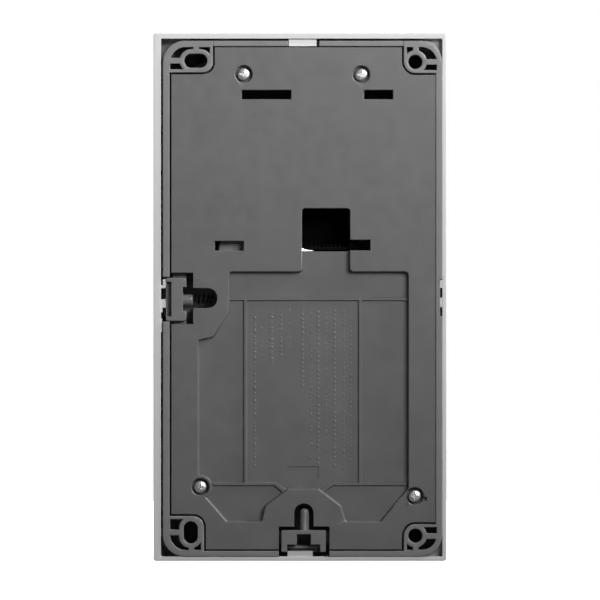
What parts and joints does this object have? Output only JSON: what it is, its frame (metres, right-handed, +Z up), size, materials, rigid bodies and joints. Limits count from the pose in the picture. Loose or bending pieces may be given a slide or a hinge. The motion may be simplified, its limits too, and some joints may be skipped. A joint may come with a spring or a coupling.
{
  "type": "video doorbell",
  "caption": "Wall-mounted rectangular video doorbell with removable front cover, camera, motion lens, push button and sliding latches that release the cover.",
  "frame": {"origin": "centre of the wall side, in the plane that lies on the wall", "axes": "+Z up along the height, +Y out of the back towards the wall, -Y the front, +X to the right when facing the front"},
  "size_m": [0.075, 0.028, 0.135],
  "materials": {
    "white_plastic": "fine satin moulded plastic",
    "dark_grey_plastic": "fine matt moulded plastic",
    "latch_plastic": "smooth moulded plastic",
    "black_plastic": "moulded plastic",
    "smoked_plastic": "polished, nearly opaque",
    "clear_plastic": "polished clear plastic",
    "translucent_plastic": "translucent diffuser",
    "lens_glass": "coated lens glass",
    "steel": "zinc-plated steel",
    "gold_plated": "gold-plated contact metal",
    "seal_rubber": "soft matt rubber",
    "circuit_board": "solder-masked laminate",
    "acoustic_mesh": "fine woven mesh"
  },
  "bodies": {
    "doorbell_body": {"board_screw_1": "steel", "board_screw_2": "steel", "board_screw_3": "steel", "board_screw_4": "steel", "bottom_latch_spring": "steel", "button_guide": "black_plastic", "button_light_ring": "translucent_plastic", "button_spring": "steel", "button_switch": "black_plastic", "camera_bezel": "black_plastic", "camera_window": "clear_plastic", "capacitor_1": "black_plastic", "capacitor_2": "black_plastic", "chassis": "dark_grey_plastic", "fascia_panel": "smoked_plastic", "flat_flex_cable": "seal_rubber", "front_board": "circuit_board", "front_cover": "white_plastic", "front_housing": "dark_grey_plastic", "housing_screw_1": "steel", "housing_screw_2": "steel", "housing_screw_3": "steel", "housing_screw_4": "steel", "image_sensor_board": "circuit_board", "infrared_lamp_1": "clear_plastic", "infrared_lamp_2": "clear_plastic", "infrared_lamp_3": "clear_plastic", "infrared_lamp_4": "clear_plastic", "jack_contacts": "gold_plated", "jack_housing": "black_plastic", "lens_barrel": "black_plastic", "lens_element": "lens_glass", "lens_holder": "black_plastic", "main_board": "circuit_board", "microphone": "steel", "microphone_boot": "seal_rubber", "motion_lens": "translucent_plastic", "motion_sensor": "steel", "network_transformer": "black_plastic", "power_inductor": "black_plastic", "rear_cover": "dark_grey_plastic", "rear_gasket": "seal_rubber", "rear_screw_lower_left": "steel", "rear_screw_lower_right": "steel", "rear_screw_upper_left": "steel", "rear_screw_upper_right": "steel", "shield_can": "steel", "side_latch_spring": "steel", "speaker_cone": "black_plastic", "speaker_frame": "black_plastic", "speaker_gasket": "seal_rubber", "speaker_magnet": "steel", "speaker_mesh": "acoustic_mesh", "wifi_antenna": "gold_plated"},
    "button_body": {"button_cap": "white_plastic"},
    "side_latch_body": {"side_latch": "latch_plastic"},
    "bottom_latch_body": {"bottom_latch": "latch_plastic"}
  },
  "joints": [
    {"name": "button_press", "type": "slide", "parent": "doorbell_body", "child": "button_body", "axis": [0, 1, 0], "range_m": [0, 0.0012], "stiffness_N_per_m": 900, "springref_m": -0.0015, "deforming": ["button_spring"]},
    {"name": "side_latch_slide", "type": "slide", "parent": "doorbell_body", "child": "side_latch_body", "axis": [-1, 0, 0], "range_m": [0, 0.0015], "stiffness_N_per_m": 500, "springref_m": -0.002, "deforming": ["side_latch_spring"]},
    {"name": "bottom_latch_slide", "type": "slide", "parent": "doorbell_body", "child": "bottom_latch_body", "axis": [0, 0, 1], "range_m": [0, 0.0007], "stiffness_N_per_m": 700, "springref_m": -0.0015, "deforming": ["bottom_latch_spring"]}
  ]
}
